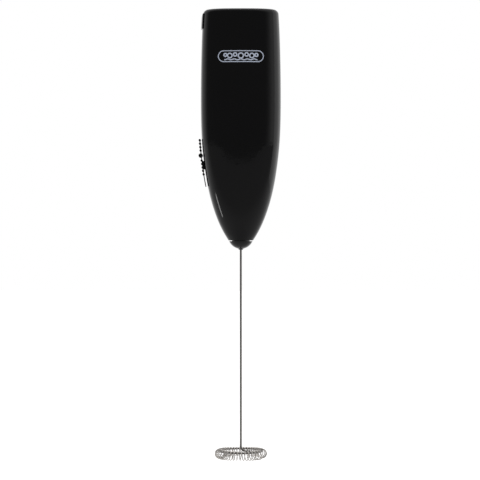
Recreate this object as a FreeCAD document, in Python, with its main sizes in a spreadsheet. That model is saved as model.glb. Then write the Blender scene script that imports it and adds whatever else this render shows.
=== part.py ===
"""Hand-held milk frother, two AA cells, modelled as an assembly of separate pieces.

Frame: millimetres, +Z up. The origin is the centre of the flat closed end of the handle, and the
whisk hangs down along -Z. The front shell faces -Y, the battery cover faces +Y, the thumb switch is
on the narrow side that faces -X.
"""
import FreeCAD, Part
import math
import os
import Sketcher

from FreeCAD import Base

# ---------------------------------------------------------------- driving dimensions
# Each size is written once here, lives in the sheet "sizes" and is read by its alias.
DRIVING = {
    # two AA cells, side by side
    "cell_diameter": 14.5,
    "cell_length": 50.5,
    "cell_gap": 0.2,
    "cell_setback": 0.9,
    "button_diameter": 5.5,
    "button_height": 1.1,
    # moulded handle
    "side_allowance": 4.5,
    "depth_allowance": 8.9,
    "handle_length": 109.6,
    "nose_end_radius": 5.9,
    "wall": 1.6,
    "rim_round": 2.2,
    "seam_setback": 1.5,
    "slide_gap": 0.2,
    # battery cover and its finger catch
    "cover_overlap": 2.0,
    "catch_length": 9.0,
    "catch_reach": 4.7,
    "catch_width": 5.0,
    "catch_lip": 0.55,
    # battery tray and contacts
    "tray_gap": 0.4,
    "tray_wall": 1.2,
    "tray_clearance": 0.25,
    "plate": 0.4,
    "contact_space": 3.4,
    "spring_wire": 0.5,
    "spring_radius": 3.2,
    # motor
    "motor_gap": 2.0,
    "motor_length": 25.0,
    "motor_diameter": 20.0,
    "motor_flats": 15.0,
    "motor_can_wall": 0.8,
    "bell_height": 3.0,
    "boss_diameter": 6.1,
    "boss_height": 1.6,
    "shaft_diameter": 2.0,
    "shaft_reach": 9.0,
    "bearing_play": 0.04,
    # coupling, nose and whisk
    "coupling_diameter": 5.0,
    "coupling_length": 11.5,
    "coupling_start": 3.6,
    "nose_radius": 6.1,
    "nose_gap": 0.35,
    "nose_height": 4.05,
    "plug_radius": 4.3,
    "plug_height": 3.0,
    "bush_radius": 1.45,
    "wire_diameter": 1.0,
    "wire_length": 111.1,
    "ring_radius": 10.2,
    "ring_bend": 2.4,
    "ring_gap": 3.0,
    "coil_wire": 0.4,
    "coil_radius": 2.1,
    "coil_turns": 39.0,
    # thumb switch
    "switch_start": 61.8,
    "switch_length": 22.2,
    "switch_width": 5.0,
    "switch_travel": 4.0,
    "switch_float": 0.7,
    "switch_proud": 1.1,
    "rib_radius": 0.55,
    "big_rib_radius": 1.0,
    # housing screws
    "screw_radius": 1.0,
    "screw_head_radius": 2.1,
    "screw_head_height": 1.4,
    "screw_boss_wall": 1.1,
}

doc = FreeCAD.newDocument("milk_frother")
sizes = doc.addObject("Spreadsheet::Sheet", "sizes")
for row, (alias, number) in enumerate(DRIVING.items(), start=1):
    sizes.set(f"A{row}", alias)
    sizes.set(f"B{row}", str(number))
    sizes.setAlias(f"B{row}", alias)
doc.recompute()


def mm(expression):
    """The number that an expression on the sheet comes to."""
    return float(sizes.evalExpression(expression))


def named(pattern):
    """Writes each {alias} of a pattern as a reference to the sheet."""
    for alias in sorted(DRIVING, key=len, reverse=True):
        pattern = pattern.replace("{" + alias + "}", "sizes." + alias)
    return f"({pattern})"


# Levels along the handle, as expressions. Each is a height above the flat end, so it is negative.
TRAY_TOP = named("-({wall} + {tray_gap})")
PLATE_TOP = f"({TRAY_TOP} - sizes.tray_wall)"
CELL_TOP = f"({PLATE_TOP} - sizes.plate - sizes.contact_space)"
CELL_BOTTOM = f"({CELL_TOP} - sizes.cell_length)"
LOWER_PLATE = f"({CELL_BOTTOM} - sizes.contact_space)"
TRAY_FLOOR = f"({LOWER_PLATE} - sizes.plate)"
TRAY_BOTTOM = f"({TRAY_FLOOR} - sizes.tray_wall)"
COVER_BOTTOM = f"({CELL_BOTTOM} - sizes.cover_overlap)"
MOTOR_TOP = f"({TRAY_BOTTOM} - sizes.motor_gap)"
MOTOR_BOTTOM = f"({MOTOR_TOP} - sizes.motor_length)"
SHAFT_END = f"({MOTOR_BOTTOM} - sizes.shaft_reach)"
COUPLING_TOP = f"({MOTOR_BOTTOM} - sizes.coupling_start)"
COUPLING_BOTTOM = f"({COUPLING_TOP} - sizes.coupling_length)"
NOSE_RIM = named("-({handle_length} + {nose_gap})")
NOSE_TIP = f"({NOSE_RIM} - sizes.nose_height + sizes.nose_gap)"
WIRE_TOP = f"({SHAFT_END} - 0.3)"
RING_LEVEL = f"({WIRE_TOP} - sizes.wire_length)"
HALF_WIDTH = named("{cell_diameter} + {cell_gap} / 2 + {side_allowance}")
HALF_DEPTH = named("{cell_diameter} / 2 + ({depth_allowance}) / 2")
CELL_OFFSET = named("({cell_diameter} + {cell_gap}) / 2")
FAR = 400.0  # longer than any part of the handle, for cutting boxes


# ---------------------------------------------------------------- helpers
def place(item, **where):
    """Binds the corner or centre of a primitive: place(item, x=..., y=..., z=...)."""
    for axis, expression in where.items():
        item.setExpression(f"Placement.Base.{axis}", str(expression))
    return item


def box(name, length, width, height, **where):
    """A Part::Box; its corner is at x, y, z."""
    item = doc.addObject("Part::Box", name)
    item.setExpression("Length", str(length))
    item.setExpression("Width", str(width))
    item.setExpression("Height", str(height))
    return place(item, **where)


def cylinder(name, radius, height, along="Z", **where):
    """A Part::Cylinder that starts at x, y, z and runs along an axis."""
    item = doc.addObject("Part::Cylinder", name)
    item.setExpression("Radius", str(radius))
    item.setExpression("Height", str(height))
    turns = {"Z": (1, 0, 0, 0), "Y": (1, 0, 0, -90), "X": (0, 1, 0, 90)}
    x, y, z, angle = turns[along]
    item.Placement.Rotation = Base.Rotation(Base.Vector(x, y, z), angle)
    return place(item, **where)


def cut(name, base, tool):
    item = doc.addObject("Part::Cut", name)
    item.Base, item.Tool = base, tool
    return item


def fuse(name, pieces):
    item = doc.addObject("Part::MultiFuse", name)
    item.Shapes = pieces
    return item


def common(name, pieces):
    item = doc.addObject("Part::MultiCommon", name)
    item.Shapes = pieces
    return item


def compound(name, pieces):
    """Several separate solids that share one node, such as like fasteners."""
    item = doc.addObject("Part::Compound", name)
    item.Links = pieces
    return item


def feature(name, shape):
    item = doc.addObject("Part::Feature", name)
    item.Shape = shape
    return item


def origin_plane(body, role):
    return next(o for o in body.Origin.OriginFeatures if o.Role == role)


def outline(sketch, corners):
    """Draws a closed outline of straight sides; each corner is a pair of expressions from the origin."""
    points = [Base.Vector(mm(x), mm(y), 0) for x, y in corners]
    count = len(points)
    for k in range(count):
        sketch.addGeometry(Part.LineSegment(points[k], points[(k + 1) % count]))
    for k in range(count):
        sketch.addConstraint(Sketcher.Constraint("Coincident", k, 2, (k + 1) % count, 1))
    for k, corner in enumerate(corners):
        for kind, axis, expression in (("DistanceX", -2, corner[0]), ("DistanceY", -1, corner[1])):
            if abs(mm(expression)) < 1e-9:
                sketch.addConstraint(Sketcher.Constraint("PointOnObject", k, 1, axis))
                continue
            number = sketch.addConstraint(Sketcher.Constraint(kind, -1, 1, k, 1, mm(expression)))
            sketch.setExpression(f"Constraints[{number}]", str(expression))


def turned(name, corners, level):
    """A PartDesign body turned about Z. Corners are (radius, height over the body's own base)."""
    body = doc.addObject("PartDesign::Body", name)
    sketch = body.newObject("Sketcher::SketchObject", name + "_section")
    sketch.AttachmentSupport = [(origin_plane(body, "XZ_Plane"), "")]
    sketch.MapMode = "FlatFace"
    outline(sketch, corners)
    turn = body.newObject("PartDesign::Revolution", name + "_turned")
    turn.Profile = sketch
    turn.ReferenceAxis = (sketch, ["V_Axis"])
    turn.Angle = 360.0
    sketch.Visibility = False
    return place(body, z=level)


# ---------------------------------------------------------------- the handle's moulded form
# Stations down the handle: share of the length, share of the half width, share of the half depth
# and squareness of the section (2 is an ellipse, more is squarer).
STATIONS = [
    (0.000, 0.938, 0.900, 2.7),
    (0.090, 0.967, 0.945, 2.7),
    (0.186, 0.985, 0.975, 2.7),
    (0.368, 1.000, 1.000, 2.7),
    (0.473, 0.995, 1.000, 2.7),
    (0.577, 0.969, 0.990, 2.65),
    (0.680, 0.906, 0.960, 2.55),
    (0.785, 0.801, 0.895, 2.4),
    (0.889, 0.628, 0.765, 2.2),
    (0.942, 0.500, 0.640, 2.1),
]
SECTIONS = 22
SECTION_POINTS = 24


def signed_power(value, power):
    return math.copysign(abs(value) ** power, value)


def form_line():
    """A smooth line whose point at a share of the length is (half width, half depth, squareness)."""
    wide, deep, end = mm(HALF_WIDTH), mm(HALF_DEPTH), mm("sizes.nose_end_radius")
    rows = [Base.Vector(a * wide, b * deep, square) for _, a, b, square in STATIONS]
    line = Part.BSplineCurve()
    line.interpolate(Points=rows + [Base.Vector(end, end, 2.0)],
                     Parameters=[share for share, _, _, _ in STATIONS] + [1.0])
    return line


FORM_LINE = form_line()


def side_at(level):
    """Half width of the handle at a level."""
    return FORM_LINE.value(-level / mm("sizes.handle_length")).x


def form(inset, name):
    """The handle's outer form moved inwards by inset, as a solid lofted through evenly spaced sections."""
    wires = []
    for station in range(SECTIONS):
        share = station / (SECTIONS - 1)
        wide, deep, square = FORM_LINE.value(share)
        points = []
        for k in range(SECTION_POINTS):
            angle = 2 * math.pi * k / SECTION_POINTS
            x = (wide - inset) * signed_power(math.cos(angle), 2 / square)
            y = (deep - inset) * signed_power(math.sin(angle), 2 / square)
            points.append(Base.Vector(x, y, -share * mm("sizes.handle_length")))
        curve = Part.BSplineCurve()
        curve.interpolate(Points=points, PeriodicFlag=True,
                          Parameters=[float(k) for k in range(SECTION_POINTS + 1)])
        wires.append(Part.Wire(curve.toShape()))
    return feature(name, Part.makeLoft(wires, True, False))


def side_band(name, top, bottom, inner, outer, width):
    """A strip along the switch's side: from inner to outer, counted outwards from the surface."""
    levels = [top + (bottom - top) * k / 6 for k in range(7)]
    faces = []
    for reach in (inner, outer):
        curve = Part.BSplineCurve()
        curve.interpolate([Base.Vector(-side_at(z) - reach, -width / 2, z) for z in levels])
        faces.append(curve.toShape())
    strip = Part.makeRuledSurface(faces[0], faces[1])
    solid = strip.extrude(Base.Vector(0, width, 0))
    return feature(name, solid)


outer_form = form(0.0, "outer_form")
rounded = outer_form.Shape
top_edges = [e for e in rounded.Edges if abs(e.BoundBox.ZMin) < 1e-6 and abs(e.BoundBox.ZMax) < 1e-6]
rounded = rounded.makeFillet(min(mm("sizes.rim_round"), mm("sizes.wall") * 1.4), top_edges)
outer_form.Shape = rounded
inner_form = form(mm("sizes.wall"), "inner_form")
mid_form = form(mm("sizes.wall") / 2, "mid_form")
tray_form = form(mm("sizes.wall + sizes.tray_clearance"), "tray_form")
lip_form = form(-mm("sizes.catch_lip"), "lip_form")

# The hollow stops short of both ends: the flat end keeps its wall, the nose end keeps a collar.
cavity = common("cavity", [
    inner_form,
    box("cavity_span", 2 * FAR, 2 * FAR, named("{handle_length} - {wall} - {plug_height} / 2"),
        x=-FAR, y=-FAR, z=named("-({handle_length} - {plug_height} / 2)")),
])
plug_hole = cylinder("plug_hole", named("{plug_radius} + 0.05"), named("{plug_height} + {wall}"),
                     z=named("-({handle_length} + 0.5)"))
skin = cut("skin", cut("skin_closed", outer_form, cavity), plug_hole)

# Slot for the switch's neck, through both shells, as long as the neck and its travel.
NECK_HALF_WIDTH = 1.5
NECK_TOP = named("-({switch_start} + {switch_length} * 0.45)")
NECK_LENGTH = named("{switch_length} * 0.18")
NECK_MID = f"({NECK_TOP} - {NECK_LENGTH} / 2)"
SIDE_AT_NECK = side_at(mm(NECK_MID))
CARRIER_DEPTH = 2.2
CARRIER_SETBACK = 1.1  # from the inside of the wall, which leans inwards below the neck
BLADE_THICKNESS, BLADE_WIDTH = 0.3, 3.0
BLADE_X = f"({-SIDE_AT_NECK} + sizes.wall + {CARRIER_SETBACK} + {CARRIER_DEPTH} + 0.8)"
neck_slot = box("neck_slot", 8, 2 * (NECK_HALF_WIDTH + 0.25),
                f"({NECK_LENGTH} + sizes.switch_travel + 0.9)",
                x=f"-{HALF_WIDTH} - 1", y=-(NECK_HALF_WIDTH + 0.25),
                z=f"({NECK_TOP} - {NECK_LENGTH} - sizes.switch_travel - 0.55)")

# ---------------------------------------------------------------- ribs, bosses and screws
MOTOR_ROUND = named("{motor_diameter} / 2 + 0.1")
motor_envelope = common("motor_envelope", [
    cylinder("motor_room_round", MOTOR_ROUND, named("{motor_length} + 0.2"), z=f"({MOTOR_BOTTOM} - 0.1)"),
    box("motor_room_flats", 2 * FAR, named("{motor_flats} + 0.2"), FAR,
        x=-FAR, y=named("-({motor_flats} / 2 + 0.1)"), z=-FAR),
])
RIB_THICKNESS = 1.2
rib_levels = [f"({MOTOR_TOP} - 2.6)", f"({MOTOR_BOTTOM} + 1.6)"]
ribs = [box(f"rib_slab_{k}", 2 * FAR, 2 * FAR, RIB_THICKNESS, x=-FAR, y=-FAR, z=level)
        for k, level in enumerate(rib_levels)]

# Screw places: (x, level, y of the seat under the head) as expressions.
SCREWS = [
    (f"({HALF_WIDTH} * 0.685)", f"({MOTOR_TOP} - 1.5)", f"({HALF_DEPTH} * 0.52)"),
    (f"({HALF_WIDTH} * 0.332)", f"({MOTOR_BOTTOM} - 6.4)", f"({HALF_DEPTH} * 0.45)"),
    (f"(-{HALF_WIDTH} * 0.332)", f"({MOTOR_BOTTOM} - 6.4)", f"({HALF_DEPTH} * 0.45)"),
]
BOSS_RADIUS = named("{screw_head_radius} + 0.1 + {screw_boss_wall}")
PILOT_RADIUS = named("{screw_radius} + 0.02")
PILOT_DEPTH = 5.0
bosses = [cylinder(f"boss_{k}", BOSS_RADIUS, 2 * FAR, "Y", x=x, y=-FAR, z=level)
          for k, (x, level, _) in enumerate(SCREWS)]
pilots = [cylinder(f"pilot_{k}", PILOT_RADIUS, f"(sizes.seam_setback + {PILOT_DEPTH} + 20)", "Y",
                   x=x, y=-PILOT_DEPTH, z=level) for k, (x, level, _) in enumerate(SCREWS)]
head_rooms = [cylinder(f"head_room_{k}", "(sizes.screw_head_radius + 0.1)", 20, "Y", x=x, y=seat, z=level)
              for k, (x, level, seat) in enumerate(SCREWS)]
coupling_room = cylinder("coupling_room", named("{coupling_diameter} / 2 + 0.5"), FAR,
                         z=f"({MOTOR_BOTTOM} - {FAR})")
blade_pocket = box("blade_pocket", BLADE_THICKNESS + 0.06, BLADE_WIDTH + 0.06, 20,
                   x=f"({BLADE_X} - 0.03)", y=-BLADE_WIDTH / 2 - 0.03, z=f"({MOTOR_TOP} - 15)")
stiffening = cut("stiffening",
                 common("stiffening_in_form", [fuse("ribs_and_bosses", ribs + bosses), mid_form]),
                 fuse("running_room", [motor_envelope, coupling_room, blade_pocket] + pilots + head_rooms))
skin_with_ribs = cut("skin_with_ribs", fuse("skin_and_ribs", [skin, stiffening]),
                     fuse("skin_openings", [neck_slot] + head_rooms))


def catch_block(name, margin):
    """The corner by the flat end, on the switch's side, that belongs to the battery cover."""
    return box(name, f"(sizes.catch_width + {margin} + 3)",
               f"(sizes.catch_reach + sizes.seam_setback + {margin} + 0.4)",
               f"(sizes.catch_length + {margin} + 2)",
               x=f"(-{HALF_WIDTH} - 3)", y=f"(-sizes.catch_reach - {margin})",
               z=f"(-sizes.catch_length - {margin})")


# ---------------------------------------------------------------- shells and cover
front_space = box("front_space", 2 * FAR, f"({FAR} + sizes.seam_setback)", 2 * FAR, x=-FAR, y=-FAR, z=-FAR)
front_shell = common("front_shell", [
    skin_with_ribs, cut("front_span", front_space, catch_block("catch_notch", 0.2)),
])

rear_shell = common("rear_shell", [
    skin_with_ribs,
    box("rear_span", 2 * FAR, FAR, f"({FAR} + {COVER_BOTTOM})", x=-FAR, y="sizes.seam_setback", z=-FAR),
])

cover_span = box("cover_span", 2 * FAR, FAR, f"(-{COVER_BOTTOM} - sizes.slide_gap + 5)",
                 x=-FAR, y="(sizes.seam_setback + sizes.slide_gap)", z=f"({COVER_BOTTOM} + sizes.slide_gap)")
cover_panel = common("cover_panel", [skin, fuse("cover_room", [cover_span, catch_block("catch_body", 0.0)])])
lip_prism = feature("lip_prism", Part.Face(Part.makePolygon([
    Base.Vector(-side_at(-mm("sizes.catch_length")) - 2, 0, -mm("sizes.catch_length")),
    Base.Vector(-side_at(-mm("sizes.catch_length")) + 0.6, 0, -mm("sizes.catch_length")),
    Base.Vector(-side_at(-2.0) + 0.6, 0, -2.0),
    Base.Vector(-side_at(-2.0) - 0.02, 0, -2.0),
    Base.Vector(-side_at(-mm("sizes.catch_length")) - 2, 0, -mm("sizes.catch_length")),
])).extrude(Base.Vector(0, mm("sizes.catch_reach + sizes.seam_setback") + 2.2, 0)))
place(lip_prism, y=named("-{catch_reach}"))
lip = cut("lip", common("lip_in_form", [lip_form, lip_prism]), cavity)
battery_cover = fuse("battery_cover", [cover_panel, lip])

# ---------------------------------------------------------------- thumb switch
# The slider is a thin strip that follows the side; its travel is straight and the side is curved,
# so it floats a little above the shell.
slide_top, slide_bottom = mm("-sizes.switch_start"), mm("-(sizes.switch_start + sizes.switch_length)")
strip_width = mm("sizes.switch_width")
slider_strip = side_band("slider_strip", slide_top, slide_bottom, mm("sizes.switch_float"),
                         mm("sizes.switch_proud"), strip_width)
neck = box("slider_neck", named("{wall} + 3.4"), 2 * NECK_HALF_WIDTH, NECK_LENGTH,
           x=-SIDE_AT_NECK - 0.9, y=-NECK_HALF_WIDTH, z=f"({NECK_TOP} - {NECK_LENGTH})")
# Thumb ribs: four above the big one and five below, evenly pitched; the tail below them is smooth.
RIB_PITCH = named("{switch_length} * 0.0735")
BIG_RIB = named("{switch_start} + {switch_length} * 0.333")
ribs_above, ribs_below = 4, 5
thumb_ribs = []
for step in range(-ribs_above, ribs_below + 1):
    away = f"({step} * {RIB_PITCH} + {(step > 0) - (step < 0)} * {RIB_PITCH} * 0.47)"
    level = f"(-({BIG_RIB} + {away}))"
    radius = "sizes.rib_radius" if step else "sizes.big_rib_radius"
    lift = "(sizes.switch_float + sizes.switch_proud) / 2 + 0.05" if step else "sizes.big_rib_radius + 0.15"
    thumb_ribs.append(cylinder(f"thumb_rib_{step + ribs_above}", radius, named("{switch_width} - 0.3"), "Y",
                               x=f"(-{side_at(mm(level))} - ({lift}))",
                               y=named("-({switch_width} - 0.3) / 2"), z=level))
switch_slider = fuse("switch_slider", [slider_strip, neck] + thumb_ribs)

# Inside the handle a carrier is pressed onto the neck; beside it runs the contact blade.
carrier_block = box("carrier_block", CARRIER_DEPTH, 6.4, f"({NECK_LENGTH} + 2.4)",
                    x=f"({-SIDE_AT_NECK} + sizes.wall + {CARRIER_SETBACK})", y=-3.2,
                    z=f"({NECK_TOP} - {NECK_LENGTH} - 1.2)")
switch_carrier = cut("switch_carrier", carrier_block, neck)

# ---------------------------------------------------------------- nose
nose_ball = doc.addObject("Part::Sphere", "nose_ball")
nose_ball.setExpression("Radius", "sizes.nose_radius")
place(nose_ball, z=f"({NOSE_TIP} + sizes.nose_radius)")
nose_dome = common("nose_dome", [nose_ball, box("dome_span", 40, 40, 40, x=-20, y=-20, z=f"({NOSE_RIM} - 40)")])
plug = cylinder("nose_plug", "sizes.plug_radius", named("{plug_height} + {nose_gap} + 0.5"), z=f"({NOSE_RIM} - 0.5)")
bush_seat = cylinder("bush_seat", "sizes.bush_radius", 40, z=f"({NOSE_RIM} - 20)")
nose_cap = cut("nose_cap", fuse("nose_solid", [nose_dome, plug]), bush_seat)
BUSH_LENGTH = named("{nose_height} + {plug_height} + 0.4")
nose_bush = turned("nose_bush", [
    ("sizes.wire_diameter / 2 + sizes.bearing_play", "0"),
    ("sizes.bush_radius - 0.55", "0"),
    ("sizes.bush_radius", "0.75"),
    ("sizes.bush_radius", BUSH_LENGTH),
    ("sizes.wire_diameter / 2 + sizes.bearing_play", BUSH_LENGTH),
], f"({NOSE_TIP} - 0.4)")

# ---------------------------------------------------------------- cells, tray and contacts
def cell(name, x_sign, button_up):
    """One AA cell, turned about its own axis, its button towards the flat end or the nose."""
    radius, length = "sizes.cell_diameter / 2", "sizes.cell_length"
    crimp = "0.6"
    body = turned(name, [
        ("0", "0"),
        (f"{radius} - 1.2", "0"),
        (f"{radius}", crimp),
        (f"{radius}", f"{length} - sizes.button_height - {crimp}"),
        (f"{radius} - 0.9", f"{length} - sizes.button_height"),
        ("sizes.button_diameter / 2", f"{length} - sizes.button_height"),
        ("sizes.button_diameter / 2 - 0.3", length),
        ("0", length),
    ], CELL_BOTTOM if button_up else CELL_TOP)
    place(body, x=f"({x_sign} * {CELL_OFFSET})", y="sizes.cell_setback")
    if not button_up:
        body.Placement.Rotation = Base.Rotation(Base.Vector(1, 0, 0), 180)
    return body


cell_left = cell("cell_left", -1, True)
cell_right = cell("cell_right", 1, False)

tray_span = box("tray_span", 2 * FAR, f"({FAR} - 0.4)", f"({TRAY_TOP} - {TRAY_BOTTOM})",
                x=-FAR, y=-FAR, z=TRAY_BOTTOM)
tunnels = [cylinder(f"cell_tunnel_{k}", named("{cell_diameter} / 2 + 0.15"), f"({PLATE_TOP} - {TRAY_FLOOR})",
                    x=f"({sign} * {CELL_OFFSET})", y="sizes.cell_setback", z=TRAY_FLOOR)
           for k, sign in enumerate((-1, 1))]
core = box("tray_core", 4.4, 5.0, FAR, x=-2.2, y=f"(-{HALF_DEPTH})", z=f"({TRAY_BOTTOM} - 20)")
PLATE_WIDE = named("{cell_diameter} * 0.62")
bridge_recess = box("bridge_recess", f"(2 * {CELL_OFFSET} + {PLATE_WIDE} + 0.1)", f"({PLATE_WIDE} + 0.1)",
                    "(sizes.plate + 0.1)", x=f"(-{CELL_OFFSET} - {PLATE_WIDE} / 2 - 0.05)",
                    y=f"(sizes.cell_setback - {PLATE_WIDE} / 2 - 0.05)", z=f"({PLATE_TOP} - sizes.plate - 0.1)")
battery_tray = cut("battery_tray", common("tray_in_form", [tray_form, tray_span]),
                   fuse("tray_hollows", tunnels + [core, bridge_recess]))

# Conical contact springs and the tapered thumb of the whisk are swept along arcs.
def arc_pair(start, start_way, end, end_way):
    """Two arcs that leave start along start_way and reach end along end_way, tangent where they meet."""
    chord, ways = end - start, start_way + end_way
    spread = 2 * (1 - start_way.dot(end_way))
    reach = (-chord.dot(ways) + math.sqrt(chord.dot(ways) ** 2 + spread * chord.dot(chord))) / spread
    joint = (start + end + (start_way - end_way) * reach) * 0.5
    edges = []
    for a, corner, b in ((start, start + start_way * reach, joint), (joint, end - end_way * reach, end)):
        middle = (a + b) * 0.5
        half = (b - a).Length / 2
        turn = math.acos(min(1.0, half / (corner - a).Length))
        edges.append(Part.Arc(a, middle + (corner - middle).normalize() * half * math.tan(turn / 2), b).toShape())
    return edges


def swept_wire(points_at, steps, radius):
    """Round wire of a radius along a curve: points_at(share) for share 0 to 1, joined by tangent arcs."""
    step = 1e-5
    way = [(points_at(k / steps + step) - points_at(k / steps - step)).normalize() for k in range(steps + 1)]
    edges = []
    for k in range(steps):
        edges += arc_pair(points_at(k / steps), way[k], points_at((k + 1) / steps), way[k + 1])
    return tube(edges, radius)


def tube(edges, radius):
    """A round bar of a radius along a chain of tangent edges."""
    path = Part.Wire(edges)
    start = edges[0].valueAt(edges[0].FirstParameter)
    way = edges[0].tangentAt(edges[0].FirstParameter)
    rim = Part.Wire(Part.Circle(start, way, radius).toShape())
    return path.makePipeShell([rim], True, True)


def cell_spring(name, x_sign, near_cell, far_end):
    """A conical spring from its plate to a cell's flat end, 3 turns and a closed turn at the plate."""
    wire = mm("sizes.spring_wire") / 2
    wide, narrow = mm("sizes.spring_radius"), mm("sizes.spring_radius") * 0.55
    start, end = far_end, near_cell
    inwards = 1 if end > start else -1
    start, end = start + inwards * (wire + 0.02), end - inwards * (wire + 0.02)
    centre_x = x_sign * mm(CELL_OFFSET)
    turns = 3

    def at(share):
        angle = 2 * math.pi * turns * share
        radius = wide + (narrow - wide) * share
        return Base.Vector(centre_x + radius * math.cos(angle), mm("sizes.cell_setback") + radius * math.sin(angle),
                           start + (end - start) * share)

    return feature(name, swept_wire(at, turns * 6, wire))


upper_spring = cell_spring("upper_spring", 1, mm(CELL_TOP), mm(f"{PLATE_TOP} - sizes.plate"))
lower_spring = cell_spring("lower_spring", -1, mm(CELL_BOTTOM), mm(LOWER_PLATE))

bridge_plate = box("bridge_plate", f"(2 * {CELL_OFFSET} + {PLATE_WIDE})", PLATE_WIDE, "sizes.plate",
                   x=f"(-{CELL_OFFSET} - {PLATE_WIDE} / 2)", y=f"(sizes.cell_setback - {PLATE_WIDE} / 2)",
                   z=f"({PLATE_TOP} - sizes.plate)")
bridge_button = cylinder("bridge_button", 2.0, "(sizes.contact_space + sizes.plate / 2)",
                         x=f"(-{CELL_OFFSET})", y="sizes.cell_setback", z=CELL_TOP)
bridge_contact = fuse("bridge_contact", [bridge_plate, bridge_button])


def lower_plate(name, x_sign):
    return box(name, PLATE_WIDE, PLATE_WIDE, "sizes.plate",
               x=f"({x_sign} * {CELL_OFFSET} - {PLATE_WIDE} / 2)",
               y=f"(sizes.cell_setback - {PLATE_WIDE} / 2)", z=TRAY_FLOOR)


# Below the tray each plate is bent down beside the motor as a strip.
STRIP_Y = named("{motor_flats} / 2 + 0.5")
negative_tail = box("negative_tail", 3.0, "sizes.plate", f"({TRAY_FLOOR} - {MOTOR_TOP} + sizes.plate)",
                    x=f"(-{CELL_OFFSET} - 1.5)", y=f"(sizes.cell_setback + {PLATE_WIDE} / 2 - sizes.plate)", z=MOTOR_TOP)
negative_contact = fuse("negative_contact", [lower_plate("negative_plate", -1), negative_tail])
positive_button = cylinder("positive_button", 2.0, "(sizes.contact_space + sizes.plate / 2)",
                           x=CELL_OFFSET, y="sizes.cell_setback", z=f"({TRAY_FLOOR} + sizes.plate / 2)")
positive_tail = box("positive_tail", 3.0, "sizes.plate", f"({TRAY_FLOOR} - {MOTOR_TOP} + sizes.plate)",
                    x=f"({CELL_OFFSET} - 1.5)", y=f"(sizes.cell_setback + {PLATE_WIDE} / 2 - sizes.plate)", z=MOTOR_TOP)
positive_contact = fuse("positive_contact", [lower_plate("positive_plate", 1), positive_button, positive_tail])

# ---------------------------------------------------------------- motor
def flatted(name, radius, flats, height, level):
    """A round bar with two flats, the shape of a small motor's can."""
    return common(name, [
        cylinder(name + "_round", radius, height, z=level),
        box(name + "_flats", 2 * FAR, flats, 2 * FAR, x=-FAR, y=f"(-({flats}) / 2)", z=-FAR),
    ])


CAN_INNER = named("{motor_diameter} / 2 - {motor_can_wall}")
CAN_INNER_FLATS = named("{motor_flats} - 2 * {motor_can_wall}")
CAN_TOP = f"({MOTOR_TOP} - sizes.bell_height)"
can_solid = flatted("can_solid", "sizes.motor_diameter / 2", "sizes.motor_flats",
                    named("{motor_length} - {bell_height}"), MOTOR_BOTTOM)
can_boss = cylinder("can_boss", named("{boss_diameter} / 2"), named("{boss_height} + {motor_can_wall}"),
                    z=f"({MOTOR_BOTTOM} - sizes.boss_height)")
can_hollow = flatted("can_hollow", CAN_INNER, CAN_INNER_FLATS, FAR, f"({MOTOR_BOTTOM} + sizes.motor_can_wall)")
BUSH_OUTER = named("{boss_diameter} / 2 - 0.8")
can_bore = cylinder("can_bore", BUSH_OUTER, 10, z=f"({MOTOR_BOTTOM} - 5)")
motor_can = cut("motor_can", fuse("can_body", [can_solid, can_boss]), fuse("can_openings", [can_hollow, can_bore]))

bell_cap = flatted("bell_cap", "sizes.motor_diameter / 2", "sizes.motor_flats", "sizes.bell_height", CAN_TOP)
bell_spigot = flatted("bell_spigot", f"({CAN_INNER} - 0.03)", f"({CAN_INNER_FLATS} - 0.06)", 2.0, f"({CAN_TOP} - 2)")
bell_bore = cylinder("bell_bore", named("{shaft_diameter} / 2 + {bearing_play}"), 10, z=f"({CAN_TOP} - 5)")
bell_room = cylinder("bell_room", 4.6, 3.2, z=f"({CAN_TOP} - 2)")
TERMINAL_X = named("{motor_diameter} * 0.31")
terminal_slots = [box(f"terminal_slot_{k}", 0.6, 2.5, 10, x=f"({sign} * {TERMINAL_X} - 0.3)", y=-1.25, z=f"({CAN_TOP} - 3)")
                  for k, sign in enumerate((-1, 1))]
motor_end_bell = cut("motor_end_bell", fuse("bell_body", [bell_cap, bell_spigot]),
                     fuse("bell_openings", [bell_bore, bell_room] + terminal_slots))
motor_terminals = compound("motor_terminals", [
    box(f"terminal_{k}", 0.5, 2.4, named("{bell_height} + 2 + 1.4"),
        x=f"({sign} * {TERMINAL_X} - 0.25)", y=-1.2, z=f"({CAN_TOP} - 2)")
    for k, sign in enumerate((-1, 1))])

motor_bush = turned("motor_bush", [
    ("sizes.shaft_diameter / 2 + sizes.bearing_play", "0"),
    (BUSH_OUTER, "0"),
    (BUSH_OUTER, named("{boss_height} + {motor_can_wall}")),
    ("sizes.shaft_diameter / 2 + sizes.bearing_play", named("{boss_height} + {motor_can_wall}")),
], f"({MOTOR_BOTTOM} - sizes.boss_height)")

MAGNET_LENGTH = named("{motor_length} * 0.56")
MAGNET_LEVEL = f"({MOTOR_BOTTOM} + sizes.motor_can_wall + 1.5)"
ROTOR_RADIUS = named("{motor_flats} / 2 - {motor_can_wall} - 0.6")
magnet_ring = cut("magnet_ring",
                  flatted("magnet_solid", f"({CAN_INNER} - 0.08)", f"({CAN_INNER_FLATS} - 0.16)", MAGNET_LENGTH, MAGNET_LEVEL),
                  cylinder("magnet_bore", f"({ROTOR_RADIUS} + 0.3)", FAR, z=-FAR * 0.75))
motor_magnets = compound("motor_magnets", [
    common("magnet_left", [magnet_ring, box("magnet_left_span", 10, 11.5, 2 * FAR, x=-14.5, y=-5.75, z=-FAR)]),
    common("magnet_right", [magnet_ring, box("magnet_right_span", 10, 11.5, 2 * FAR, x=4.5, y=-5.75, z=-FAR)]),
])

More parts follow.
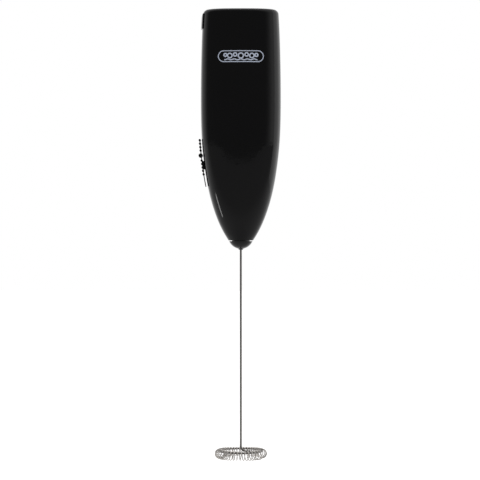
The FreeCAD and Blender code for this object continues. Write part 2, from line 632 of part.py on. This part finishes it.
# ---------------------------------------------------------------- what spins
ROTOR_LENGTH = named("{motor_length} * 0.44")
ROTOR_LEVEL = f"({MOTOR_BOTTOM} + sizes.motor_can_wall + 3)"
POLES = 3
shaft_bore = cylinder("shaft_bore", named("{shaft_diameter} / 2"), 2 * FAR, z=-FAR)
pole_slots = []
winding_bars = []
for pole in range(POLES):
    turn = Base.Rotation(Base.Vector(0, 0, 1), 360.0 * pole / POLES)
    slot = box(f"pole_slot_{pole}", 8, 1.2, f"({ROTOR_LENGTH} + 2)", z=f"({ROTOR_LEVEL} - 1)")
    hollow = cylinder(f"pole_hollow_{pole}", 1.75, f"({ROTOR_LENGTH} + 2)", z=f"({ROTOR_LEVEL} - 1)")
    offset = turn.multVec(Base.Vector(2.2, -0.6, 0))
    centre = turn.multVec(Base.Vector(mm(ROTOR_RADIUS) - 2.5, 0, 0))
    slot.Placement.Rotation = turn
    place(slot, x=offset.x, y=offset.y)
    place(hollow, x=centre.x, y=centre.y)
    pole_slots += [slot, hollow]
    winding_bars.append(place(cylinder(f"winding_{pole}", 1.7, f"({ROTOR_LENGTH} + 1.2)", z=f"({ROTOR_LEVEL} - 0.6)"),
                              x=centre.x, y=centre.y))
rotor_core = cut("rotor_core", cylinder("rotor_solid", ROTOR_RADIUS, ROTOR_LENGTH, z=ROTOR_LEVEL),
                 fuse("rotor_openings", pole_slots + [shaft_bore]))
rotor_windings = compound("rotor_windings", winding_bars)
commutator = turned("commutator", [
    ("sizes.shaft_diameter / 2", "0"),
    ("sizes.shaft_diameter / 2 + 1.4", "0"),
    ("sizes.shaft_diameter / 2 + 1.4", "2.6"),
    ("sizes.shaft_diameter / 2", "2.6"),
], f"({ROTOR_LEVEL} + {ROTOR_LENGTH} + 1.2)")
motor_shaft = turned("motor_shaft", [
    ("0", "0"),
    ("sizes.shaft_diameter / 2", "0"),
    ("sizes.shaft_diameter / 2", named("{shaft_reach} + {motor_length} - 0.8")),
    ("0", named("{shaft_reach} + {motor_length} - 0.8")),
], SHAFT_END)

COUPLING_JOIN = f"({SHAFT_END} - {COUPLING_BOTTOM})"
coupling = turned("coupling", [
    ("sizes.wire_diameter / 2", "0"),
    ("sizes.coupling_diameter / 2 - 0.8", "0"),
    ("sizes.coupling_diameter / 2", "1.2"),
    ("sizes.coupling_diameter / 2", named("{coupling_length}")),
    ("sizes.shaft_diameter / 2", named("{coupling_length}")),
    ("sizes.shaft_diameter / 2", f"({COUPLING_JOIN} - 0.3)"),
    ("sizes.wire_diameter / 2", f"({COUPLING_JOIN} - 0.3)"),
], COUPLING_BOTTOM)

# The whisk is one wire: down the axis, out to the ring, then round it. A fine coil hangs on the ring.
RING_TILT = 1.2  # degrees, the ring's switch-side rim lower
ring, bend = mm("sizes.ring_radius"), mm("sizes.ring_bend")
ring_level, wire_top = mm(RING_LEVEL), mm(WIRE_TOP)
gap_angle = mm("sizes.ring_gap") / ring


def ring_point(angle, radius=ring, drop=0.0):
    """A point on the ring, counted from +X round towards +Y; the ring leans a little about Y."""
    lean = math.tan(math.radians(RING_TILT))
    x, y = radius * math.cos(angle), radius * math.sin(angle)
    return Base.Vector(x, y, ring_level + lean * x - drop)


def whisk_path():
    """Straight run, quarter bend outwards, short spoke, a tighter bend onto the ring, then the ring."""
    down, out = Base.Vector(0, 0, -1), Base.Vector(math.cos(-0.5), math.sin(-0.5), 0)
    side = Base.Vector(-out.y, out.x, 0)
    root = Base.Vector(0, 0, ring_level + bend)
    foot = Base.Vector(0, 0, ring_level) + out * bend
    centre = root + out * bend
    quarter = math.sqrt(0.5)
    edges = [
        Part.LineSegment(Base.Vector(0, 0, wire_top), root).toShape(),
        Part.Arc(root, centre + (out * -quarter + down * quarter) * bend, foot).toShape(),
    ]
    # The second bend lies flat: it turns from outwards to along the ring, inside the ring's circle.
    turn_centre_reach = math.sqrt((ring - bend) ** 2 - bend ** 2)
    bend_start = Base.Vector(0, 0, ring_level) + out * turn_centre_reach
    bend_centre = bend_start + side * bend
    flat_centre = Base.Vector(bend_centre.x, bend_centre.y, 0)
    touch = bend_centre + flat_centre.normalize() * bend
    middle_way = ((bend_start - bend_centre).normalize() + (touch - bend_centre).normalize()).normalize()
    edges.append(Part.LineSegment(foot, bend_start).toShape())
    edges.append(Part.Arc(bend_start, bend_centre + middle_way * bend, touch).toShape())
    start_angle = math.atan2(touch.y, touch.x)
    end_angle = start_angle + 2 * math.pi - gap_angle
    halfway = (start_angle + end_angle) / 2
    edges.append(Part.Arc(touch, Base.Vector(ring * math.cos(halfway), ring * math.sin(halfway), ring_level),
                          Base.Vector(ring * math.cos(end_angle), ring * math.sin(end_angle), ring_level)).toShape())
    return edges, start_angle, end_angle


wire_edges, ring_start, ring_end = whisk_path()
whisk_wire = feature("whisk_wire", tube(wire_edges, mm("sizes.wire_diameter / 2")))


def coil_point(share):
    """Toroidal helix: the coil's turns go round a circle below the ring wire, which they hang on."""
    coil = mm("sizes.coil_radius")
    hang = coil - mm("sizes.coil_wire / 2") - mm("sizes.wire_diameter / 2") - 0.05
    turns = mm("sizes.coil_turns")
    around = ring_start + 0.12 + (ring_end - ring_start - 0.16) * share
    angle = 2 * math.pi * turns * share
    radius = ring + coil * math.cos(angle)
    return Base.Vector(radius * math.cos(around), radius * math.sin(around),
                       ring_level - hang + coil * math.sin(angle))


COIL_STEPS_PER_TURN = 4
whisk_coil = feature("whisk_coil", swept_wire(coil_point, int(mm("sizes.coil_turns")) * COIL_STEPS_PER_TURN,
                                              mm("sizes.coil_wire / 2")))

# ---------------------------------------------------------------- switch contacts and screws
switch_blade = box("switch_blade", BLADE_THICKNESS, BLADE_WIDTH, f"({NECK_LENGTH} + 6.5)", x=BLADE_X,
                   y=-BLADE_WIDTH / 2, z=f"({NECK_TOP} - {NECK_LENGTH} - 1)")

housing_screws = []
for k, (x, level, seat) in enumerate(SCREWS):
    head = cylinder(f"screw_head_{k}", "sizes.screw_head_radius", "sizes.screw_head_height", "Y", x=x, y=seat, z=level)
    shank = cylinder(f"screw_shank_{k}", "sizes.screw_radius", f"({seat} + {PILOT_DEPTH} - 0.4)", "Y",
                     x=x, y=-(PILOT_DEPTH - 0.4), z=level)
    slot_a = box(f"screw_slot_{k}", 2.6, 1.0, 0.6, x=f"({x} - 1.3)",
                 y=f"({seat} + sizes.screw_head_height - 0.7)", z=f"({level} - 0.3)")
    slot_b = box(f"screw_cross_{k}", 0.6, 1.0, 2.6, x=f"({x} - 0.3)",
                 y=f"({seat} + sizes.screw_head_height - 0.7)", z=f"({level} - 1.3)")
    housing_screws.append(cut(f"screw_{k}", fuse(f"screw_body_{k}", [head, shank]), fuse(f"screw_drive_{k}", [slot_a, slot_b])))
housing_screws = compound("housing_screws", housing_screws)

# ---------------------------------------------------------------- check and write
SUBPARTS = [
    front_shell, rear_shell, battery_cover, nose_cap, nose_bush, switch_slider,
    switch_carrier, switch_blade, battery_tray, cell_left, cell_right, bridge_contact, upper_spring,
    lower_spring, negative_contact, positive_contact, motor_can, motor_end_bell, motor_terminals,
    motor_bush, motor_magnets, rotor_core, rotor_windings, commutator, motor_shaft, coupling,
    whisk_wire, whisk_coil, housing_screws,
]

doc.recompute()
failed = [o.Name for o in doc.Objects if "Invalid" in o.State or "Error" in o.State]
if failed:
    raise RuntimeError(f"these objects did not compute: {failed}")
os.makedirs("parts", exist_ok=True)
for item in SUBPARTS:
    shape = item.Shape
    if shape.isNull() or not shape.isValid() or not shape.Solids:
        raise RuntimeError(f"{item.Label} has no valid solid")
    print(f"{item.Label:18s} solids {len(shape.Solids)} volume {shape.Volume:9.2f} mm3")
    shape.exportStep(f"parts/{item.Label}.step")
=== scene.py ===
"""Hand-held milk frother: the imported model's pieces with their finishes, plus the printed badge."""
import math

import bpy
import numpy as np
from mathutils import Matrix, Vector


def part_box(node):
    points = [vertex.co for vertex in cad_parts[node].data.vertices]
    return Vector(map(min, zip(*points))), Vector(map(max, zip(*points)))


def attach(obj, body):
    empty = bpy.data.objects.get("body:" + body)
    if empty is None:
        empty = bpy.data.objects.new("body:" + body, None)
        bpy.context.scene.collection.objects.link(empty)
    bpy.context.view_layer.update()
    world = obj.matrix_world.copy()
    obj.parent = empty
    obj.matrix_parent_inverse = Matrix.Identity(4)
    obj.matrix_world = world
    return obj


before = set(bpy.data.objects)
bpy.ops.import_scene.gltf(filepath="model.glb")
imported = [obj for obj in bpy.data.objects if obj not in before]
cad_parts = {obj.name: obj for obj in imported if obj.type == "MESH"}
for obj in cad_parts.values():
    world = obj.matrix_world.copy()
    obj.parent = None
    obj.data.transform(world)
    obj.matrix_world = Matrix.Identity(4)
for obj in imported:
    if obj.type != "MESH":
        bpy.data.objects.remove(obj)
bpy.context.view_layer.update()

# ---------------------------------------------------------------- handle shells and battery cover
# Two shells and a sliding cover injection-moulded in black ABS from polished tools. The shells are
# screwed together from the rear; the cover is held by its own edge and a finger catch.
def add_noise(nodes, links, scale, detail, coordinates):
    """A noise texture on the piece's own Object coordinates, its size in periods per metre."""
    noise = nodes.new("ShaderNodeTexNoise")
    noise.inputs["Scale"].default_value = scale
    noise.inputs["Detail"].default_value = detail
    links.new(coordinates.outputs["Object"], noise.inputs["Vector"])
    return noise


def moulded_plastic(name, colour, gloss, grain, grain_depth, specular=0.5):
    """Moulded plastic: a base colour with a faint tone drift, roughness that wanders between the two
    gloss values as handling and tool polish leave it, and a fine surface grain as bump."""
    material = bpy.data.materials.new(name)
    material.use_nodes = True
    nodes, links = material.node_tree.nodes, material.node_tree.links
    shader = nodes["Principled BSDF"]
    shader.inputs["Specular IOR Level"].default_value = specular
    coordinates = nodes.new("ShaderNodeTexCoord")
    drift = add_noise(nodes, links, 60.0, 3.0, coordinates)
    tone = nodes.new("ShaderNodeMix")
    tone.data_type = "RGBA"
    tone.inputs["A"].default_value = (*colour, 1.0)
    tone.inputs["B"].default_value = (*[c * 1.35 + 0.0004 for c in colour], 1.0)
    links.new(drift.outputs["Fac"], tone.inputs["Factor"])
    links.new(tone.outputs["Result"], shader.inputs["Base Color"])
    sheen = nodes.new("ShaderNodeMapRange")
    sheen.inputs["From Min"].default_value = 0.3
    sheen.inputs["From Max"].default_value = 0.7
    sheen.inputs["To Min"].default_value = gloss[0]
    sheen.inputs["To Max"].default_value = gloss[1]
    links.new(drift.outputs["Fac"], sheen.inputs["Value"])
    links.new(sheen.outputs["Result"], shader.inputs["Roughness"])
    fine = add_noise(nodes, links, grain, 2.0, coordinates)
    bump = nodes.new("ShaderNodeBump")
    bump.inputs["Strength"].default_value = 0.35
    bump.inputs["Distance"].default_value = grain_depth
    links.new(fine.outputs["Fac"], bump.inputs["Height"])
    links.new(bump.outputs["Normal"], shader.inputs["Normal"])
    return material


def finish(node, material):
    """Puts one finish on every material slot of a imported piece."""
    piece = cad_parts[node]
    if not piece.material_slots:
        piece.data.materials.append(material)
    for slot in piece.material_slots:
        slot.material = material


polished_black = moulded_plastic("polished_black_abs", (0.0016, 0.0015, 0.0018), (0.06, 0.10),
                                 900.0, 0.000004, specular=0.25)
finish("front_shell", polished_black)
finish("rear_shell", polished_black)
finish("battery_cover", polished_black)

# ---------------------------------------------------------------- printed badge
# A one-colour pad print on the front shell: a pill outline round a row of bubbles over a wave. The
# ink is a film a few hundredths of a millimetre thick that follows the shell's crown.
BADGE_LEVEL = -0.0229
BADGE_LENGTH, BADGE_HEIGHT = 0.0212, 0.0051
INK_TOP, INK_FOOT = 0.00005, 0.00003
SHELL_WIDTH, SHELL_DEPTH = 0.018874, 0.011468
SHELL_TAPER, SHELL_POWER = 0.0226, 2.7
OUTLINE_WEIGHT, BUBBLE_WEIGHT, WAVE_WEIGHT = 0.00020, 0.00030, 0.00026


def shell_front(x, z):
    """Front of the handle by superellipse: y = -depth * (1 - |x / width| ** n) ** (1 / n), with the
    half width and half depth drifting linearly with height near the badge."""
    rise = z - BADGE_LEVEL
    width, depth = SHELL_WIDTH - SHELL_TAPER * rise, SHELL_DEPTH - SHELL_TAPER * rise
    return -depth * (1.0 - np.abs(x / width) ** SHELL_POWER) ** (1.0 / SHELL_POWER)


def ink_line(x, z, half_width, closed):
    """A printed line: the centre line's points are offset to both sides by half_width along the
    line's normal, with its top INK_TOP above the shell and its foot INK_FOOT under the surface."""
    ahead, behind = np.roll(np.stack([x, z]), -1, 1), np.roll(np.stack([x, z]), 1, 1)
    way = ahead - behind
    if not closed:
        way[:, 0] = [x[1] - x[0], z[1] - z[0]]
        way[:, -1] = [x[-1] - x[-2], z[-1] - z[-2]]
    way /= np.linalg.norm(way, axis=0)
    sides = []
    for side, lift in ((-1, 0.0), (-1, 1.0), (1, 1.0), (1, 0.0)):
        px, pz = x - side * way[1] * half_width, z + side * way[0] * half_width
        py = shell_front(px, pz) + INK_FOOT - lift * (INK_FOOT + INK_TOP)
        sides.append(np.stack([px, py, pz], 1))
    count = len(x)
    ring = np.stack(sides, 1).reshape(-1, 3)
    spans = count if closed else count - 1
    here = (np.arange(spans) * 4)[:, None] + np.arange(4)[None]
    there = ((np.arange(spans) + 1) % count * 4)[:, None] + np.arange(4)[None]
    quads = np.stack([there, np.roll(there, -1, 1), np.roll(here, -1, 1), here], 2).reshape(-1, 4)
    caps = [[0, 1, 2, 3], [4 * count - 1, 4 * count - 2, 4 * count - 3, 4 * count - 4]]
    return ring, quads, ([] if closed else caps)


def pill(length, height, count=160):
    """A stadium outline at even steps of distance: right half circle, top straight, left half circle
    and bottom straight, each a function of the distance gone round."""
    radius, straight = height / 2, length - height
    arc = math.pi * radius
    gone = np.linspace(0, 2 * (arc + straight), count, endpoint=False)
    turn_right, turn_left = gone / radius - math.pi / 2, (gone - arc - straight) / radius + math.pi / 2
    where = [gone < arc, gone < arc + straight, gone < 2 * arc + straight]
    x = np.select(where, [straight / 2 + radius * np.cos(turn_right), straight / 2 - (gone - arc),
                          -straight / 2 + radius * np.cos(turn_left)], gone - 2 * arc - 1.5 * straight)
    z = np.select(where, [radius * np.sin(turn_right), radius, radius * np.sin(turn_left)], -radius)
    return x, z


strokes = [(*pill(BADGE_LENGTH, BADGE_HEIGHT), OUTLINE_WEIGHT, True)]
angle = np.linspace(0, 2 * math.pi, 32, endpoint=False)
BUBBLES = ((-0.0073, 0.0006, 0.00070), (-0.0052, 0.0003, 0.00105), (-0.0027, 0.0008, 0.00080),
           (0.0000, 0.0003, 0.00120), (0.0027, 0.0008, 0.00080), (0.0052, 0.0003, 0.00105),
           (0.0073, 0.0006, 0.00070))
for bubble_x, bubble_z, radius in BUBBLES:
    strokes.append((bubble_x + radius * np.cos(angle), bubble_z + radius * np.sin(angle),
                    BUBBLE_WEIGHT, True))
WAVE_LENGTH, WAVE_LEVEL, WAVE_HEIGHT, WAVE_CRESTS = 0.0156, -0.00150, 0.00020, 5
wave_x = np.linspace(-WAVE_LENGTH / 2, WAVE_LENGTH / 2, 110)
wave_z = WAVE_LEVEL + WAVE_HEIGHT * np.cos(wave_x / WAVE_LENGTH * 2 * math.pi * WAVE_CRESTS)
strokes.append((wave_x, wave_z, WAVE_WEIGHT, False))
points, faces = [], []
for x, z, half_width, closed in strokes:
    ring, quads, caps = ink_line(x, z + BADGE_LEVEL, half_width, closed)
    start = sum(len(p) for p in points)
    faces += (quads + start).tolist() + [[k + start for k in cap] for cap in caps]
    points.append(ring)
mesh = bpy.data.meshes.new("badge_print")
mesh.from_pydata(np.concatenate(points).tolist(), [], faces)
mesh.update()
badge = bpy.data.objects.new("badge_print", mesh)
bpy.context.scene.collection.objects.link(badge)
badge_ink = moulded_plastic("badge_ink", (0.66, 0.73, 0.88), (0.35, 0.45), 3000.0, 0.000002)
mesh.materials.append(badge_ink)
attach(badge, "handle")

# ---------------------------------------------------------------- nose
# A black dome is plugged into the shells' open end, and a black acetal bush in it guides the
# shaft. Both are moulded, the dome from a polished tool.
finish("nose_cap", polished_black)
black_acetal = moulded_plastic("black_acetal", (0.006, 0.006, 0.006),
                               (0.32, 0.42), 1500.0, 0.000006)
finish("nose_bush", black_acetal)

# ---------------------------------------------------------------- thumb switch
# A soft black slider with moulded ribs, left matt by a textured tool. Its neck goes through a slot
# in the shell to a carrier, which pushes a sprung contact blade.
grip_black = moulded_plastic("matt_black_grip", (0.0035, 0.0035, 0.0035), (0.55, 0.7),
                             6000.0, 0.00002, specular=0.3)
finish("switch_slider", grip_black)
white_acetal = moulded_plastic("white_acetal", (0.62, 0.60, 0.55), (0.32, 0.42), 1500.0, 0.000006)
finish("switch_carrier", white_acetal)

# ---------------------------------------------------------------- contacts
# Nickel-plated spring steel and brass strip: the bridge at the closed end, the two plates at the
# lower end, the conical springs and the switch blade.
def drawn_metal(name, colour, roughness, streak, streak_way, streak_depth):
    """Metal with fine drawing or rolling lines: noise stretched along one axis drives roughness and
    a shallow bump, and a slow noise drifts the colour a little."""
    material = bpy.data.materials.new(name)
    material.use_nodes = True
    nodes, links = material.node_tree.nodes, material.node_tree.links
    shader = nodes["Principled BSDF"]
    shader.inputs["Metallic"].default_value = 1.0
    coordinates = nodes.new("ShaderNodeTexCoord")
    stretch = nodes.new("ShaderNodeMapping")
    stretch.inputs["Scale"].default_value = streak_way
    links.new(coordinates.outputs["Object"], stretch.inputs["Vector"])
    lines = nodes.new("ShaderNodeTexNoise")
    lines.inputs["Scale"].default_value = streak
    lines.inputs["Detail"].default_value = 4.0
    links.new(stretch.outputs["Vector"], lines.inputs["Vector"])
    spread = nodes.new("ShaderNodeMapRange")
    spread.inputs["To Min"].default_value = roughness[0]
    spread.inputs["To Max"].default_value = roughness[1]
    links.new(lines.outputs["Fac"], spread.inputs["Value"])
    links.new(spread.outputs["Result"], shader.inputs["Roughness"])
    drift = add_noise(nodes, links, 180.0, 2.0, coordinates)
    tone = nodes.new("ShaderNodeMix")
    tone.data_type = "RGBA"
    tone.inputs["A"].default_value = (*colour, 1.0)
    tone.inputs["B"].default_value = (*[c * 0.82 for c in colour], 1.0)
    links.new(drift.outputs["Fac"], tone.inputs["Factor"])
    links.new(tone.outputs["Result"], shader.inputs["Base Color"])
    bump = nodes.new("ShaderNodeBump")
    bump.inputs["Strength"].default_value = 0.3
    bump.inputs["Distance"].default_value = streak_depth
    links.new(lines.outputs["Fac"], bump.inputs["Height"])
    links.new(bump.outputs["Normal"], shader.inputs["Normal"])
    return material


nickel = drawn_metal("nickel_plate", (0.68, 0.65, 0.58), (0.14, 0.3), 900.0,
                     (1.0, 1.0, 0.1), 0.000004)
finish("bridge_contact", nickel)
finish("negative_contact", nickel)
finish("positive_contact", nickel)
finish("upper_spring", nickel)
finish("lower_spring", nickel)
finish("switch_blade", nickel)

# ---------------------------------------------------------------- cells and tray
# Two AA cells in plain shrink sleeves, one each way up, in a black tray that also carries the
# contacts. The sleeves end at the crimp, where the steel can shows.
def cell_sleeve(name, node, button_up):
    """Shrink sleeve by height: steel at both ends, a copper-coloured band on the button's third and
    dark grey below it, chosen by comparing the Object height with two levels."""
    material = moulded_plastic(name, (0.05, 0.055, 0.065), (0.2, 0.3), 800.0, 0.000005)
    nodes, links = material.node_tree.nodes, material.node_tree.links
    shader = nodes["Principled BSDF"]
    low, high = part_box(node)
    coordinates = nodes.new("ShaderNodeTexCoord")
    parts = nodes.new("ShaderNodeSeparateXYZ")
    links.new(coordinates.outputs["Object"], parts.inputs["Vector"])
    share = nodes.new("ShaderNodeMapRange")
    share.inputs["From Min"].default_value = low.z if button_up else high.z
    share.inputs["From Max"].default_value = high.z if button_up else low.z
    links.new(parts.outputs["Z"], share.inputs["Value"])
    bands = nodes.new("ShaderNodeValToRGB")
    bands.color_ramp.interpolation = "CONSTANT"
    ramp = bands.color_ramp.elements
    ramp[0].position, ramp[0].color = 0.0, (0.6, 0.6, 0.6, 1.0)
    ramp[1].position, ramp[1].color = 0.02, (0.03, 0.034, 0.042, 1.0)
    for position, colour in ((0.7, (0.45, 0.2, 0.08, 1.0)), (0.962, (0.62, 0.62, 0.62, 1.0))):
        ramp.new(position).color = colour
    links.new(share.outputs["Result"], bands.inputs["Fac"])
    links.new(bands.outputs["Color"], shader.inputs["Base Color"])
    return material


finish("cell_left", cell_sleeve("cell_left_sleeve", "cell_left", True))
finish("cell_right", cell_sleeve("cell_right_sleeve", "cell_right", False))
tray_black = moulded_plastic("satin_black_abs", (0.012, 0.012, 0.013), (0.4, 0.55), 2500.0, 0.00001)
finish("battery_tray", tray_black)

# ---------------------------------------------------------------- motor
# A flat-sided can motor: drawn zinc-plated can with a bronze bush, a black end bell that holds two
# terminals, two arc magnets, and a three-pole rotor on a ground shaft.
zinc = drawn_metal("zinc_plate", (0.55, 0.56, 0.58), (0.25, 0.42), 700.0,
                   (1.0, 1.0, 0.15), 0.000006)
finish("motor_can", zinc)
finish("motor_end_bell", tray_black)
copper = drawn_metal("enamelled_copper", (0.62, 0.24, 0.11), (0.18, 0.3), 2500.0,
                     (1.0, 1.0, 0.05), 0.00002)
brass = drawn_metal("terminal_brass", (0.70, 0.50, 0.22), (0.2, 0.34), 900.0,
                    (1.0, 0.2, 1.0), 0.000004)
bronze = drawn_metal("sintered_bronze", (0.42, 0.26, 0.12), (0.42, 0.6), 3000.0,
                     (1.0, 1.0, 1.0), 0.00001)
finish("motor_terminals", brass)
finish("motor_bush", bronze)
ferrite = moulded_plastic("sintered_ferrite", (0.022, 0.022, 0.024), (0.6, 0.75), 4000.0, 0.00002)
finish("motor_magnets", ferrite)
laminations = drawn_metal("stacked_laminations", (0.45, 0.44, 0.42), (0.3, 0.5), 400.0,
                          (0.02, 0.02, 8.0), 0.00003)
finish("rotor_core", laminations)
finish("rotor_windings", copper)
finish("commutator", copper)
ground_steel = drawn_metal("ground_steel", (0.62, 0.62, 0.63), (0.12, 0.24), 900.0,
                           (1.0, 1.0, 0.4), 0.000003)
finish("motor_shaft", ground_steel)
finish("coupling", white_acetal)

# ---------------------------------------------------------------- whisk
# One stainless wire is bent from the shaft into a level ring, and a close-wound coil of fine bright
# wire is threaded on the ring. The wire is pressed into the coupling.
# The wire's base colour is painted dark, far below bright steel, as painted shade standing in for the
# darker reflections the shaft shows.
stainless = drawn_metal("stainless_wire_painted_dark", (0.20, 0.19, 0.18), (0.2, 0.34), 1200.0,
                        (1.0, 1.0, 0.05), 0.000004)
finish("whisk_wire", stainless)
bright_wire = drawn_metal("bright_coil_wire", (0.58, 0.55, 0.52), (0.12, 0.24), 2000.0,
                          (1.0, 1.0, 1.0), 0.000002)
finish("whisk_coil", bright_wire)

# ---------------------------------------------------------------- screws
# Zinc-plated cross-head screws, sunk in round wells in the rear shell.
finish("housing_screws", zinc)

# ---------------------------------------------------------------- floor, light and camera
# A pale floor below the hanging whisk, brighter towards the back by painted light: painted shade
# darkens its colour in front and a painted glow lights it behind, though it is no lamp. A studio that
# is white behind the object and darker in front of it, a soft box to the right, and a small strip
# light low on the left that streaks the taper.
FLOOR_LEVEL, FLOOR_REACH = -0.30, 6.0
floor_mesh = bpy.data.meshes.new("floor")
floor_corners = [(x * FLOOR_REACH, y * FLOOR_REACH, FLOOR_LEVEL)
                 for x, y in ((-1, -1), (1, -1), (1, 1), (-1, 1))]
floor_mesh.from_pydata(floor_corners, [], [(0, 1, 2, 3)])
floor = bpy.data.objects.new("floor", floor_mesh)
bpy.context.scene.collection.objects.link(floor)
floor_paint = bpy.data.materials.new("pale_floor_painted_light")
floor_paint.use_nodes = True
floor_nodes, floor_links = floor_paint.node_tree.nodes, floor_paint.node_tree.links
floor_shader = floor_nodes["Principled BSDF"]
floor_shader.inputs["Roughness"].default_value = 0.9
floor_shader.inputs["Specular IOR Level"].default_value = 0.0
floor_shader.inputs["Emission Color"].default_value = (1.0, 1.0, 1.0, 1.0)
floor_place = floor_nodes.new("ShaderNodeTexCoord")
floor_axes = floor_nodes.new("ShaderNodeSeparateXYZ")
floor_links.new(floor_place.outputs["Object"], floor_axes.inputs["Vector"])
# Painted light by the floor's own Y: base colour darker in front as painted shade, emission rising
# towards the back as a painted glow.
for socket, front, back in (("Base Color", 0.55, 0.93), ("Emission Strength", 0.0, 0.45)):
    painted_light_fade = floor_nodes.new("ShaderNodeMapRange")
    painted_light_fade.interpolation_type = "SMOOTHSTEP"
    painted_light_fade.inputs["From Min"].default_value = -0.7
    painted_light_fade.inputs["From Max"].default_value = 0.6
    painted_light_fade.inputs["To Min"].default_value = front
    painted_light_fade.inputs["To Max"].default_value = back
    floor_links.new(floor_axes.outputs["Y"], painted_light_fade.inputs["Value"])
    floor_links.new(painted_light_fade.outputs["Result"], floor_shader.inputs[socket])
floor_mesh.materials.append(floor_paint)

scene = bpy.context.scene
scene.view_settings.view_transform = "Standard"
world = bpy.data.worlds.new("studio")
world.use_nodes = True
sky = world.node_tree.nodes
direction = sky.new("ShaderNodeTexCoord")
lean = sky.new("ShaderNodeVectorMath")
lean.operation = "DOT_PRODUCT"
lean.inputs[1].default_value = (0.35, 1.0, 0.0)
sky["Background"].inputs["Color"].default_value = (1.0, 1.0, 1.0, 1.0)
shade = sky.new("ShaderNodeMapRange")
shade.interpolation_type = "SMOOTHSTEP"
shade.inputs["From Min"].default_value = -0.60
shade.inputs["From Max"].default_value = -0.02
shade.inputs["To Min"].default_value = 0.22
shade.inputs["To Max"].default_value = 1.0
world.node_tree.links.new(direction.outputs["Generated"], lean.inputs[0])
world.node_tree.links.new(lean.outputs["Value"], shade.inputs["Value"])
world.node_tree.links.new(shade.outputs["Result"], sky["Background"].inputs["Strength"])
scene.world = world


def soft_box(name, place, target, size, watts):
    """A rectangular area light at place, turned to face target."""
    light = bpy.data.lights.new(name, "AREA")
    light.shape = "RECTANGLE"
    light.size, light.size_y = size
    light.energy = watts
    lamp = bpy.data.objects.new(name, light)
    lamp.location = place
    lamp.rotation_euler = (Vector(target) - Vector(place)).to_track_quat("-Z", "Y").to_euler()
    scene.collection.objects.link(lamp)


soft_box("right_soft_box", (0.9, 0.30, 0.26), (0, 0, 0.26), (1.0, 1.08), 2.03)
soft_box("left_strip", (-0.336, -0.049, -0.2215), (-0.0105, -0.007, -0.092), (0.038, 0.08), 0.075)

camera_data = bpy.data.cameras.new("camera")
camera_data.sensor_width = 36.0
CAMERA_DISTANCE, FIELD = 0.87, 0.2288
camera_data.lens = 36.0 * CAMERA_DISTANCE / FIELD
camera = bpy.data.objects.new("camera", camera_data)
camera.location = (-0.0004, -CAMERA_DISTANCE, -0.1094)
camera.rotation_euler = (math.pi / 2, 0.0, 0.0)
scene.collection.objects.link(camera)
scene.camera = camera
